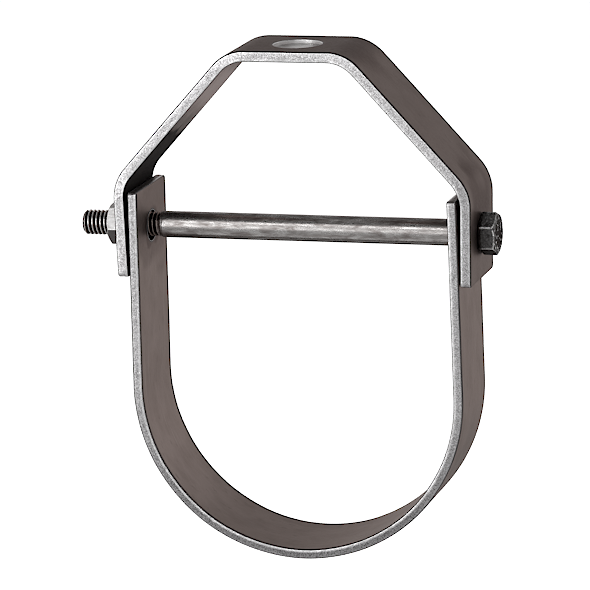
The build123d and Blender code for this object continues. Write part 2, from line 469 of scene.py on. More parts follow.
    # smooth punched walls, and painted shade round the bolt holes, where the bolt's head, the nut and the bolt shade
    # the bar; outside it reaches further up
    wall, darkening = np.zeros(len(s)), np.zeros(len(s))
    for c, r, block in holes:
        if r < 8:
            low_z, high_z = path.at(np.array([c - 1.0, c + 1.0]), 0.0)[1]
            up = (s - c) * np.sign(high_z - low_z)
            d = np.hypot(np.where(up > 0, up / 2.1, up / 0.62), y / 1.2)
            ragged = 1 + 0.30 * noise(s / 7.0, y / 5.0, 2.0, seed + 21)
            outside = np.where(n > 0, 1.0 - smooth((d * ragged - 7.0) / 9.5), 0.0)
            inside = np.where(n < 0, 1.0 - smooth((np.hypot(s - c, y) * ragged - 6.2) / 3.4), 0.0)
            reach = np.hypot(np.where(up > 0, up / 2.2, up / 1.1), y / 1.7) * ragged
            inside = np.maximum(inside, np.where(n < 0, 0.50 * (1.0 - smooth((reach - 9.0) / 8.0)), 0.0))
            darkening = np.maximum(darkening, np.maximum(0.84 * outside, 0.85 * inside) * (1 - edge))
        else:
            # the outside of the top flat is darker round the rod hole
            d = np.hypot((s - c) / 1.35, y / 1.6) * (1 + 0.12 * noise(s / 9.0, y / 9.0, 6.0, seed + 22))
            darkening = np.maximum(darkening, np.where(n > 0, 0.84 * (1.0 - smooth((d - 14.0) / 14.0)), 0.0) * (1 - edge))
    # painted shade on the walls of the bolt holes
    for ids, bright, darkened in bores:
        wall[ids], darkening[ids] = bright, np.maximum(darkening[ids], 0.9 * darkened)
    # painted shade (a painted dark reflection) on the inside of the bar's outer bends, and a painted grazing sheen
    # further along
    bend_shade, painted_sheen = np.zeros(len(s)), np.zeros(len(s))
    for start, way in shaded_bends:
        t = (s - start) * way + 0.31 * y + 1.6 * noise(s / 5.0, y / 4.0, 4.0, seed + 31)
        bend_shade = np.maximum(bend_shade, np.where(n < 0, (1 - smooth((t - 23.5) / 4.0)) * smooth((t + 26.0) / 12.0), 0.0))
        painted_sheen = np.maximum(painted_sheen, np.where(n < 0, smooth((t - 27.0) / 16.0) * smooth((66.0 - t) / 12.0), 0.0))
    obj = make_mesh(name, np.column_stack([x, yy, z]), faces, {
        "flat": np.column_stack([s, y, n]) * MM,
        "edge": edge,
        "wear_and_highlight": np.clip(wear_and_highlight, 0, 1),
        "wall": wall * edge,
        "darkening": darkening,
        "bend_shade": bend_shade * (1 - edge),
        "painted_sheen": painted_sheen * (1 - edge),
        "bend": bent,
        "cut": _end_layer(s, L, edge),
        "shaded_edges": shaded_edges[2] * (1 - smooth((np.abs(s - shaded_edges[0]) - shaded_edges[1] * 0.35) / (shaded_edges[1] * 0.65))),
    })
    return obj


def _end_layer(s, L, edge):
    """1 on the cut ends of a bar."""
    d = np.minimum(s, L - s)
    return smooth((0.6 - d) / 0.5) * edge


yoke_line, strap_line = yoke_path(), strap_path()
hole_r = bolt_hole_d / 2
yoke = build_bar(
    "yoke_bar", yoke_line, yoke_t, ear_corner_r,
    [(yoke_line.where_z(bolt_z + hole_slack, -1), hole_r, 9.0),
     (yoke_line.length / 2, rod_hole_d / 2, 13.0),
     (yoke_line.where_z(bolt_z + hole_slack, 1), hole_r, 9.0)], 100, 0.035, 1, (yoke_line.length, 62.0, 0.42),
    [((yoke_line.starts[1] + yoke_line.starts[2]) / 2, 1), ((yoke_line.starts[7] + yoke_line.starts[8]) / 2, -1)])
strap = build_bar(
    "strap_bar", strap_line, strap_t, strap_corner_r,
    [(strap_line.where_z(bolt_z - hole_slack, -1), hole_r, 9.0),
     (strap_line.where_z(bolt_z - hole_slack, 1), hole_r, 9.0)], 300, 0.11, 0.5, (strap_line.length * 0.5, 110.0, 0.88))


# ---------------------------------------------------------------- bolt and nut
def hex_columns(turn_deg, gap=3.0):
    """Angles around the axis in degrees, close together at the hexagon's corners."""
    near = [-3.1, -1.9, -1.25, -0.6, 0.0, 0.6, 1.25, 1.9, 3.1]
    m = round((60 - 6.2) / gap)
    rest = [3.1 + (60 - 6.2) * k / m for k in range(1, m)]
    cols = sorted((turn_deg + 60 * k + a) % 360 for k in range(6) for a in near + rest)
    return np.radians(cols)


def hex_radius(phi, turn_deg, corner_r):
    """The hexagon's radius at each angle, with its six corners rounded."""
    v = (phi - radians(turn_deg)) % (pi / 3)
    v = np.minimum(v, pi / 3 - v)
    a = across_flats / 2
    d = (a - corner_r) / cos(pi / 6)
    inside = np.maximum(corner_r ** 2 - (d * np.sin(v)) ** 2, 0)
    arc = d * np.cos(v) + np.sqrt(inside)
    tangent = atan2(corner_r * sin(pi / 6), d + corner_r * cos(pi / 6))
    return np.where(v <= tangent, arc, a / np.cos(pi / 6 - v)), v


# worn, rounded crests: half the width of their flat
crest_half = 0.17


def outer_thread(u):
    """Radius of the bolt's thread at the axial distance u from the middle of a crest."""
    u = np.abs((u + pitch / 2) % pitch - pitch / 2)
    crest, depth = crest_half, 0.80
    r = thread_d / 2 - np.clip((u - crest) * sqrt(3), 0, depth)
    # small radii at crest and root, as rolling leaves them
    r = r - 0.045 * np.exp(-((u - crest) / 0.08) ** 2)
    root = crest + depth / sqrt(3)
    return r + 0.05 * np.exp(-((u - root) / 0.07) ** 2) - 0.02 * smooth((u - root) / (pitch / 2 - root))


def inner_thread(u):
    u = np.abs((u + pitch / 2) % pitch - pitch / 2)
    return np.clip(thread_d / 2 + 0.07 - (u - crest_half) * sqrt(3), 4.06, 4.84)


THREAD_STEPS = np.array([0.0, 0.10, 0.155, 0.21, 0.30, 0.41, 0.52, 0.60, 0.68, 0.7937]) / pitch
THREAD_STEPS = np.concatenate([THREAD_STEPS, 1 - THREAD_STEPS[-2:0:-1]]) * pitch


class Lathe:
    """Rings of points about the bolt's axis, joined into one closed surface."""

    def __init__(self, phi):
        self.phi, self.n = phi, len(phi)
        self.x, self.r, self.a, self.layers = [], [], [], []
        self.faces, self.count, self.last = [], 0, None

    def add(self, x, r, phi, layers):
        m = len(phi)
        self.x.append(np.broadcast_to(np.asarray(x, float), (m,)))
        self.r.append(np.broadcast_to(np.asarray(r, float), (m,)))
        self.a.append(phi)
        self.layers.append([np.broadcast_to(np.asarray(v, float), (m,)) for v in layers])
        self.count += m
        return list(range(self.count - m, self.count))

    def ring(self, x, r, *layers):
        now = self.add(x, r, self.phi, layers)
        if self.last is not None:
            self.faces += between(self.last, now)
        self.last = now
        return now

    def centre(self, x, *layers, first=False):
        """Closes the surface at the axis."""
        (c,) = self.add(x, 0.0, np.zeros(1), layers)
        if first:
            self.pending = c
            return
        ring = self.last
        self.faces += [(ring[i], ring[(i + 1) % self.n], c) for i in range(self.n)]

    def screw(self, low, high, radius, layers, rising):
        """A threaded stretch from x = low to high whose rows follow the helix. radius(x, phi), layers(x, phi, r)."""
        m = len(THREAD_STEPS)
        first = int(np.floor((low - pitch) / pitch)) - 1
        turns = int(np.ceil((high - first * pitch) / pitch)) + 2
        rows = np.concatenate([first * pitch + k * pitch + THREAD_STEPS for k in range(turns)])
        phi = self.phi
        x = rows[:, None] + pitch * phi[None, :] / (2 * pi)
        state = np.zeros(x.shape, int)
        state[x < low + 0.03] = -1
        state[x > high - 0.03] = 1
        r = radius(x, np.broadcast_to(phi, x.shape))
        ids = np.zeros(x.shape, int)
        free = state == 0
        cols = np.broadcast_to(np.arange(self.n), x.shape)
        if rising:
            start = self.last
            ids[state == -1] = np.array(start)[cols[state == -1]]
        else:
            start = self.last
            ids[state == 1] = np.array(start)[cols[state == 1]]
        new = self.add(x[free], r[free], np.broadcast_to(phi, x.shape)[free], layers(x[free], r[free]))
        ids[free] = new
        end_x = high if rising else low
        end_r = radius(np.full(self.n, end_x), phi)
        end = self.add(end_x, end_r, phi, layers(np.full(self.n, end_x), end_r))
        mask = state == (1 if rising else -1)
        ids[mask] = np.array(end)[cols[mask]]
        top = len(rows) - 1
        for j in range(top):
            row, up = ids[j], ids[j + 1]
            past, past_up = min(j + m, top), min(j + 1 + m, top)
            a = np.concatenate([row, [ids[past][0]]])
            b = np.concatenate([up, [ids[past_up][0]]])
            for i in range(self.n):
                q = []
                for v in (int(a[i]), int(a[i + 1]), int(b[i + 1]), int(b[i])):
                    if v not in q:
                        q.append(v)
                if len(q) > 2:
                    self.faces.append(tuple(q))
        self.last = end

    def close(self, first_ring):
        """Joins the last ring to the first one."""
        self.faces += between(self.last, first_ring)

    def object(self, name, names, rough, facet_shade):
        x, r, a = (np.concatenate(v) for v in (self.x, self.r, self.a))
        layers = [np.concatenate(v) for v in zip(*self.layers)]
        x, r = rough(x, r, a)
        pts = np.column_stack([x, r * np.cos(a), bolt_z + r * np.sin(a)])
        data = dict(zip(names, layers))
        data["flat"] = np.column_stack([x, r * np.cos(a), r * np.sin(a)]) * MM
        data["facet_shade"] = facet_shade(x, r, a)
        return make_mesh(name, pts, self.faces, data)


# bolt: from the threaded end's face to the middle of the head's face
phi = hex_columns(head_turn_deg)
R, off = hex_radius(phi, head_turn_deg, 0.42)
near_corner = np.exp(-(off / radians(2.3)) ** 2)
bolt = Lathe(phi)
end = bolt_end_x
# layers: head, crest (0 root to 1 crest; 1 away from the thread), wear and painted highlight, thread
bolt.add(end + 0.10, 0.0, np.zeros(1), (0, 0.7, 0, 0))
first = bolt.ring(end + 0.08, 1.2, 0, 0.7, 0, 0)
bolt.faces += [(first[(i + 1) % bolt.n], first[i], 0) for i in range(bolt.n)]
bolt.ring(end + 0.04, 2.4, 0, 0.7, 0, 0)
bolt.ring(end + 0.01, 3.2, 0, 0.75, 0.2, 0)
bolt.ring(end, 3.58, 0, 0.8, 0.6, 0)


def lead(x):
    """The lead-in chamfer's cone at the bolt's end."""
    return 3.70 + (x - (end + 0.03)) * 1.0


def bolt_thread(x, a):
    r = outer_thread(x - pitch * a / (2 * pi))
    fade = smooth((x - (thread_start_x - 2.6)) / 2.6)
    r = r + (shank_d / 2 - r) * fade
    return np.minimum(r, lead(x))


def bolt_layers(x, r):
    crest = np.clip((r - 3.84) / 0.86, 0, 1)
    # painted shade: the thread's crests are darker where they sit in the strap's hole
    in_hole_shade = smooth((x + 66) / 3) * (1 - smooth((x + 56.5) / 3))
    crest = crest * (1 - 0.34 * in_hole_shade)
    return (0 * x, crest, smooth((crest - 0.93) / 0.07) * 0.8, 1 - smooth((x - (thread_start_x - 2.4)) / 2.2))


bolt.ring(end + 0.03, 3.70, 0, 0.8, 0.6, 0)
bolt.screw(end + 0.03, thread_start_x, bolt_thread, bolt_layers, True)
seat, shank_r = head_seat_x, shank_d / 2
length = seat - 0.55 - thread_start_x
for k in range(1, 81):
    bolt.ring(thread_start_x + length * k / 80, shank_r, 0, 1, 0, 0)
bolt.ring(seat - 0.30, shank_r + 0.04, 0, 1, 0, 0)
bolt.ring(seat - 0.12, shank_r + 0.14, 0.3, 1, 0, 0)
bolt.ring(seat - 0.02, shank_r + 0.32, 0.7, 1, 0, 0)
bolt.ring(seat, shank_r + 0.6, 1, 1, 0, 0)
bolt.ring(seat, (shank_r + 0.6 + R - 0.55) / 2, 1, 1, 0, 0)
bolt.ring(seat, R - 0.55, 1, 1, 0, 0)
bolt.ring(seat + 0.03, R - 0.30, 1, 1, 0.2, 0)
bolt.ring(seat + 0.14, R - 0.11, 1, 1, 0.6, 0)
bolt.ring(seat + 0.30, R - 0.02, 1, 1, 0.35 + 0.6 * near_corner, 0)
bolt.ring(seat + 0.50, R, 1, 1, 0.9 * near_corner, 0)
rho0 = across_corners / 2 + 0.2 - 0.9 / tan(radians(30))
crease = seat + head_h - (R - rho0) * tan(radians(30))
e1 = np.minimum(0.16, 0.35 * (R - rho0))
for f in (0.12, 0.28, 0.46, 0.64, 0.80, 0.92, 1.0):
    bolt.ring(seat + 0.50 + f * (crease - 0.16 - seat - 0.50), R - 0.0, 1, 1,
              0.14 + 0.82 * near_corner + 0.3 * (f == 1.0), 0)
bolt.ring(crease - 0.06, R - 0.015, 1, 1, 1.0, 0)
bolt.ring(crease + 0.015, R - 0.06, 1, 1, 1.0, 0)
slope = tan(radians(30))
bolt.ring(seat + head_h - (R - e1 - rho0) * slope, R - e1, 1, 1, 1.0, 0)
bolt.ring(seat + head_h - (R - rho0) * slope / 2, (R + rho0) / 2, 1, 1, 0.12, 0)
bolt.ring(seat + head_h - e1 * slope - 0.01, rho0 + e1, 1, 1, 0.18, 0)
bolt.ring(seat + head_h - 0.03, rho0, 1, 1, 0.30, 0)
bolt.ring(seat + head_h, rho0 - 0.14, 1, 1, 0.15, 0)
for rr, dx in ((6.25, 0.01), (5.95, 0.02), (5.6, 0.03), (5.25, 0.04), (4.9, 0.05), (4.5, 0.06), (4.1, 0.07), (3.7, 0.08),
               (3.2, 0.09), (2.6, 0.10), (1.9, 0.11), (1.2, 0.12), (0.6, 0.12)):
    bolt.ring(seat + head_h - dx, rr, 1, 1, 0.16 * min(1.0, max(0.0, (rr - 5.0) / 0.6)), 0)
bolt.centre(seat + head_h - 0.12, 1, 1, 0, 0)


def bolt_rough(x, r, a):
    """Forging and drawing marks: the shank is a little uneven, the head more."""
    y, z = r * np.cos(a), r * np.sin(a)
    shank = smooth((x - thread_start_x) / 2) * (1 - smooth((x - (seat - 1.0)) / 0.6))
    head = smooth((x - seat - 0.1) / 0.2)
    dr = shank * (0.018 * noise(x / 9, y / 3, z / 3, 501) + 0.010 * noise(x / 2.6, y / 1.6, z / 1.6, 502))
    dr = dr + head * 0.035 * noise(x / 1.4, y / 1.4, z / 1.4, 503) * smooth(r / 2)
    pits = 0.05 * noise(y / 1.3, z / 1.3, 4.4, 504) + 0.11 * noise(y / 0.8, z / 0.8, 7.4, 505) * smooth((r - 3.2) / 1.8)
    dx = head * smooth((x - (seat + head_h - 1.0)) / 0.4) * pits
    return x + np.minimum(dx, 0), r + np.minimum(dr, 0.012) * (r > 0.1)


def sides(dark, turn_deg):
    """Painted shade: how dark each of a hexagon's six sides is, counted from its first corner, with the head's end face
    dark too.
    """
    def facet_shade(x, r, a):
        k = np.floor(((a - radians(turn_deg)) % (2 * pi)) / (pi / 3)).astype(int) % 6
        on_end = smooth((x - (head_seat_x + head_h - 0.45)) / 0.15) * (1 - smooth((r - 6.2) / 0.3))
        return np.maximum(np.array(dark)[k] * smooth((r - 6.0) / 0.5), 0.90 * on_end)
    return facet_shade


bolt_obj = bolt.object("hex_bolt", ("head", "crest", "wear_and_highlight", "thread"), bolt_rough,
                       sides((0.2, 0.2, 0.92, 0.0, 0.3, 0.4), head_turn_deg))

# nut: from the bore's mouth at the ear, over the outside, and back through the bore
phi = hex_columns(nut_turn_deg)
R, off = hex_radius(phi, nut_turn_deg, 0.32)
near_corner = np.exp(-(off / radians(2.2)) ** 2)
nut = Lathe(phi)
right, leftx = nut_seat_x, nut_seat_x - nut_h
rho0 = across_corners / 2 + 0.2 - nut_chamfer / tan(radians(30))
rho0 = min(rho0, across_flats / 2 - 0.05)
e1 = np.minimum(0.16, 0.35 * (R - rho0))
mouth = 5.23
start = nut.ring(right, mouth, 1, 1, 0.5, 0)
nut.ring(right, mouth + 0.25, 1, 1, 0.1, 0)
nut.ring(right, (mouth + rho0) / 2, 1, 1, 0, 0)
nut.ring(right, rho0 - 0.14, 1, 1, 0.3, 0)
nut.ring(right - 0.03, rho0, 1, 1, 0.8, 0)
nut.ring(right - e1 * slope - 0.01, rho0 + e1, 1, 1, 0.5, 0)
nut.ring(right - (R - rho0) * slope / 2, (R + rho0) / 2, 1, 1, 0.3, 0)
nut.ring(right - (R - e1 - rho0) * slope, R - e1, 1, 1, 0.7, 0)
c0 = right - (R - rho0) * slope
c1 = leftx + (R - rho0) * slope
nut.ring(c0 - 0.015, R - 0.06, 1, 1, 1.0, 0)
nut.ring(c0 - 0.06, R - 0.015, 1, 1, 0.8, 0)
for f in (0.0, 0.04, 0.12, 0.25, 0.38, 0.5, 0.62, 0.75, 0.88, 0.96, 1.0):
    nut.ring(c0 - 0.16 + f * (c1 + 0.16 - (c0 - 0.16)), R, 1, 1, 0.9 * near_corner + 0.3 * (f in (0.0, 1.0)), 0)
nut.ring(c1 + 0.06, R - 0.015, 1, 1, 0.8, 0)
nut.ring(c1 + 0.015 - 0.03, R - 0.06, 1, 1, 1.0, 0)
nut.ring(leftx + (R - e1 - rho0) * slope, R - e1, 1, 1, 0.7, 0)
nut.ring(leftx + (R - rho0) * slope / 2, (R + rho0) / 2, 1, 1, 0.3, 0)
nut.ring(leftx + e1 * slope + 0.01, rho0 + e1, 1, 1, 0.5, 0)
nut.ring(leftx + 0.03, rho0, 1, 1, 0.8, 0)
nut.ring(leftx, rho0 - 0.14, 1, 1, 0.3, 0)
nut.ring(leftx, (mouth + rho0) / 2, 1, 1, 0, 0)
nut.ring(leftx, mouth + 0.25, 1, 1, 0.1, 0)
nut.ring(leftx, mouth, 1, 1, 0.5, 0)


def nut_thread(x, a):
    sink = np.maximum(mouth - (right - x), mouth - (x - leftx))
    return np.maximum(inner_thread(x - pitch * a / (2 * pi)), sink)


def nut_layers(x, r):
    crest = np.clip((4.84 - r) / 0.78, 0, 1)
    return (0 * x + 1, crest, smooth((crest - 0.9) / 0.1) * 0.6, 0 * x + 1)


nut.screw(leftx, right - 0.02, nut_thread, nut_layers, True)
nut.close(start)


def nut_rough(x, r, a):
    y, z = r * np.cos(a), r * np.sin(a)
    side = smooth((r - 6.0) / 0.8)
    dr = side * (0.03 * noise(x / 2.2, y / 2.2, z / 2.2, 601) + 0.015 * noise(x / 0.9, y / 0.9, z / 0.9, 602))
    return x, r + np.minimum(dr, 0.0)


nut_obj = nut.object("hex_nut_threaded", ("head", "crest", "wear_and_highlight", "thread"), nut_rough,
                     # painted shade on the nut's lower sides
                     sides((0.35, 0.0, 0.0, 0.80, 0.80, 0.5), nut_turn_deg))


# ---------------------------------------------------------------- materials
class Mat:
    """A Principled material with small helpers for its nodes."""

    def __init__(self, name):
        self.mat = bpy.data.materials.new(name)
        self.mat.use_nodes = True
        self.tree = self.mat.node_tree
        self.shader = self.tree.nodes["Principled BSDF"]

    def node(self, kind, **values):
        n = self.tree.nodes.new(kind)
        for k, v in values.items():
            setattr(n, k, v)
        return n

    def put(self, socket, value):
        if hasattr(value, "is_output"):
            self.tree.links.new(value, socket)
        else:
            socket.default_value = value

    def attr(self, name, out="Fac"):
        return self.node("ShaderNodeAttribute", attribute_name=name).outputs[out]

    def scaled(self, vector, scale):
        n = self.node("ShaderNodeVectorMath", operation="MULTIPLY")
        self.put(n.inputs[0], vector)
        n.inputs[1].default_value = scale
        return n.outputs[0]

    def noise(self, vector, scale, detail=3.0, rough=0.55, distort=0.0):
        n = self.node("ShaderNodeTexNoise")
        self.put(n.inputs["Vector"], self.scaled(vector, scale))
        n.inputs["Scale"].default_value = 1.0
        n.inputs["Detail"].default_value = detail
        n.inputs["Roughness"].default_value = rough
        n.inputs["Distortion"].default_value = distort
        return n.outputs["Fac"]

    def cells(self, vector, scale):
        n = self.node("ShaderNodeTexVoronoi", feature="F1")
        self.put(n.inputs["Vector"], self.scaled(vector, scale))
        n.inputs["Scale"].default_value = 1.0
        return n.outputs["Distance"]

    def math(self, op, a, b=0.0, c=0.0, clamp=False):
        n = self.node("ShaderNodeMath", operation=op, use_clamp=clamp)
        for s, v in zip(n.inputs, (a, b, c)):
            self.put(s, v)
        return n.outputs[0]

    def span(self, value, a, b, c, d, smooth=False):
        """value from a..b to c..d, kept inside."""
        n = self.node("ShaderNodeMapRange", interpolation_type="SMOOTHSTEP" if smooth else "LINEAR", clamp=True)
        for s, v in zip(n.inputs, (value, a, b, c, d)):
            self.put(s, v)
        return n.outputs[0]

    def mix(self, share, a, b, kind="MIX"):
        n = self.node("ShaderNodeMix", data_type="RGBA", blend_type=kind)
        self.put(n.inputs[0], share)
        self.put(n.inputs[6], a)
        self.put(n.inputs[7], b)
        return n.outputs[2]

    def blend(self, share, a, b):
        n = self.node("ShaderNodeMix", data_type="FLOAT")
        self.put(n.inputs[0], share)
        self.put(n.inputs[2], a)
        self.put(n.inputs[3], b)
        return n.outputs[0]

    def bump(self, height, distance, normal=None):
        n = self.node("ShaderNodeBump")
        n.inputs["Strength"].default_value = 1.0
        n.inputs["Distance"].default_value = distance
        self.put(n.inputs["Height"], height)
        if normal is not None:
            self.put(n.inputs["Normal"], normal)
        return n.outputs["Normal"]


def grey(v, warm=1.0, cool=1.0):
    return (v * warm, v, v * cool, 1.0)


def bar_material(name, level, bare_level, end_dark):
    m = Mat(name)
    flat = m.attr("flat", "Vector")
    split = m.node("ShaderNodeSeparateXYZ")
    m.put(split.inputs[0], flat)
    edge, wear_and_highlight, wall, darkening, bend, cut = (m.attr(a) for a in ("edge", "wear_and_highlight", "wall", "darkening", "bend", "cut"))
    bend_shade, painted_sheen, shaded_edges = m.attr("bend_shade"), m.attr("painted_sheen"), m.attr("shaded_edges")

    def tone(r, g, b):
        return (r * level * 1.025, g * level, b * level * 0.98, 1)

    def bared(r, g, b):
        return tuple(min(0.93, v * bare_level) for v in (r, g, b)) + (1,)

    # mill scale: brown-grey patches, faint lines along the bar, small darker spots and rubbed places
    patch = m.noise(flat, (26, 60, 60), 4.0, 0.6, 0.6)
    cloud = m.noise(flat, (75, 110, 110), 3.0, 0.55, 0.3)
    streak = m.noise(flat, (40, 1000, 1000), 3.0, 0.6)
    fine = m.noise(flat, (900, 1400, 1400), 3.0, 0.7)
    spot = m.noise(flat, (240, 380, 380), 2.0, 0.5)
    scratch = m.noise(flat, (35, 620, 620), 2.0, 0.5, 0.35)
    scale = m.mix(m.span(patch, 0.32, 0.70, 0.0, 1.0), tone(0.150, 0.124, 0.116), tone(0.200, 0.168, 0.160))
    scale = m.mix(m.span(cloud, 0.42, 0.68, 0.0, 0.40), scale, tone(0.118, 0.096, 0.088))
    scale = m.mix(m.span(streak, 0.42, 0.72, 0.0, 0.10), scale, tone(0.245, 0.214, 0.207))
    scale = m.mix(m.span(scratch, 0.69, 0.74, 0.0, 0.22), scale, tone(0.30, 0.275, 0.27))
    scale = m.mix(m.span(spot, 0.64, 0.78, 0.0, 0.35), scale, tone(0.085, 0.068, 0.063))
    scale = m.mix(m.span(fine, 0.3, 0.75, 0.24, 0.0), scale, tone(0.092, 0.076, 0.070))
    # painted sheen: paler scale on the inside past the shaded bends, standing in for a grazing reflection
    scale = m.mix(m.math("MULTIPLY", painted_sheen, 0.72), scale, tone(0.47, 0.365, 0.352))
    # the bends' stretched side is rubbed a little brighter; painted shade darkens the metal round the bolt holes, and
    # the top flat is darker round the rod hole
    scale = m.mix(m.math("MULTIPLY", m.math("MULTIPLY", bend, 0.22), m.span(fine, 0.35, 0.7, 0.2, 1.0)), scale,
                  tone(0.30, 0.268, 0.26))
    darkened = m.math("MULTIPLY", darkening, m.span(patch, 0.3, 0.65, 1.0, 0.80))
    scale = m.mix(darkened, scale, (0.064, 0.045, 0.041, 1))
    # painted shade: the inside of the outer bends is near-black
    scale = m.mix(m.math("MULTIPLY", bend_shade, m.span(fine, 0.3, 0.7, 0.97, 0.88)), scale, (0.0065, 0.0055, 0.006, 1))
    # sheared metal: bright, finely granular, with short marks across the edge
    grain = m.noise(flat, (2300, 2300, 2300), 2.0, 0.7)
    coarse = m.noise(flat, (520, 520, 700), 2.0, 0.6)
    lines = m.noise(flat, (2100, 2100, 300), 2.0, 0.6)
    bare = m.mix(m.span(grain, 0.36, 0.64, 0.0, 1.0), bared(0.30, 0.29, 0.295), bared(0.66, 0.655, 0.665))
    bare = m.mix(m.span(coarse, 0.52, 0.72, 0.0, 0.32), bare, bared(0.30, 0.285, 0.283))
    bare = m.mix(m.span(lines, 0.5, 0.75, 0.0, 0.25), bare, bared(0.72, 0.715, 0.72))
    # painted shade: bare edges darker along the bottom of the strap's U and at the yoke's right end
    bare = m.mix(m.math("MULTIPLY", shaded_edges, m.span(cloud, 0.35, 0.65, 1.0, 0.72)), bare, m.mix(m.span(grain, 0.36, 0.64, 0.0, 1.0), (0.085, 0.081, 0.083, 1), (0.29, 0.28, 0.285, 1)))
    bare = m.mix(m.math("MULTIPLY", cut, end_dark), bare, (0.13, 0.105, 0.098, 1))
    bands = m.noise(flat, (110, 110, 900), 3.0, 0.55)
    smooth_wall = m.mix(m.span(bands, 0.35, 0.62, 0.0, 1.0), (0.62, 0.60, 0.595, 1), (0.92, 0.91, 0.91, 1))
    depth = split.outputs["Z"]
    broken = m.math("MULTIPLY", m.span(depth, -0.55 * MM, 0.05 * MM, 0.0, 1.0, True), m.span(depth, 0.30 * MM, 0.95 * MM, 1.0, 0.0, True))
    smooth_wall = m.mix(m.math("MULTIPLY", broken, m.span(bands, 0.3, 0.6, 0.85, 0.65)), smooth_wall, (0.20, 0.185, 0.18, 1))
    bare = m.mix(m.math("MULTIPLY", wall, 0.95), bare, smooth_wall)
    # the painted shade round the bolt holes also darkens their bare metal
    bare = m.mix(darkened, bare, (0.050, 0.042, 0.040, 1))
    jitter = m.math("ADD", edge, m.span(fine, 0.3, 0.7, -0.10, 0.10))
    mask = m.span(jitter, 0.34, 0.66, 0.0, 1.0, True)
    # painted shade: a thin dark line on the scale beside the bare edge, wider along the far edge
    inner_y = bar_width / 2 - bar_edge_r
    front_line = m.span(split.outputs["Y"], -(inner_y - 0.95) * MM, -(inner_y - 0.05) * MM, 0.0, 0.92, True)
    back_line = m.span(split.outputs["Y"], (inner_y - 2.0) * MM, (inner_y - 0.3) * MM, 0.0, 0.94, True)
    edge_shade = m.math("MAXIMUM", front_line, back_line)
    edge_shade = m.math("MULTIPLY", edge_shade, m.span(cloud, 0.3, 0.65, 1.0, 0.72))
    # painted shade: a dark line where the bare edge begins
    lip = m.math("MULTIPLY", m.span(edge, 0.0, 0.04, 0.0, 1.0), m.span(mask, 0.15, 0.75, 1.0, 0.0))
    scale = m.mix(edge_shade, scale, (0.032, 0.031, 0.033, 1))
    colour = m.mix(mask, scale, bare)
    colour = m.mix(m.math("MULTIPLY", lip, 0.93), colour, (0.018, 0.018, 0.020, 1))
    # bright worn metal on the rounded corners and hole rims, partly a painted highlight
    shine = m.math("MULTIPLY", wear_and_highlight, m.span(grain, 0.25, 0.55, 0.45, 1.0), clamp=True)
    shine = m.math("MULTIPLY", shine, m.span(darkened, 0.0, 0.8, 1.0, 0.25))
    colour = m.mix(m.math("MULTIPLY", shine, 0.90), colour, bared(0.80, 0.795, 0.80))
    m.put(m.shader.inputs["Base Color"], colour)
    # the painted shade inside the bends, beside the edges and where the edge begins is matte and not metallic
    black = m.math("MAXIMUM", m.span(bend_shade, 0.1, 0.8, 0.0, 1.0), m.span(edge_shade, 0.25, 0.80, 0.0, 0.95))
    black = m.math("MAXIMUM", m.math("MULTIPLY", black, m.math("SUBTRACT", 1.0, mask)), m.math("MULTIPLY", lip, 0.85))
    m.put(m.shader.inputs["Metallic"], m.math("SUBTRACT", 1.0, black, clamp=True))
    m.shader.inputs["Specular IOR Level"].default_value = 0.05
    m.shader.inputs["Specular Tint"].default_value = (0.655, 0.620, 0.610, 1)
    rough_scale = m.math("ADD", m.span(patch, 0.3, 0.7, 0.40, 0.50), m.span(fine, 0.3, 0.7, -0.03, 0.07))
    rough_bare = m.blend(wall, m.span(grain, 0.3, 0.7, 0.54, 0.40), m.span(bands, 0.3, 0.7, 0.56, 0.46))
    rough_scale = m.math("ADD", rough_scale, m.math("MULTIPLY", painted_sheen, -0.10))
    rough_scale = m.blend(m.math("MAXIMUM", bend_shade, edge_shade), rough_scale, 0.92)
    rough = m.blend(mask, rough_scale, rough_bare)
    m.put(m.shader.inputs["Roughness"], m.blend(m.math("MULTIPLY", shine, 0.7), rough, 0.32))
    h_scale = m.math("ADD", m.math("MULTIPLY", fine, 0.5), m.math("ADD", m.math("MULTIPLY", streak, 0.06),
                                                              m.math("MULTIPLY", spot, 0.4)))
    h_bare = m.math("ADD", m.math("MULTIPLY", grain, 1.5), m.math("ADD", m.math("MULTIPLY", coarse, 1.6),
                                                              m.math("MULTIPLY", lines, 0.7)))
    h_bare = m.math("MULTIPLY", h_bare, m.span(wall, 0.0, 1.0, 1.0, 0.12))
    m.put(m.shader.inputs["Normal"], m.bump(m.blend(mask, h_scale, h_bare), 0.00003))
    return m.mat


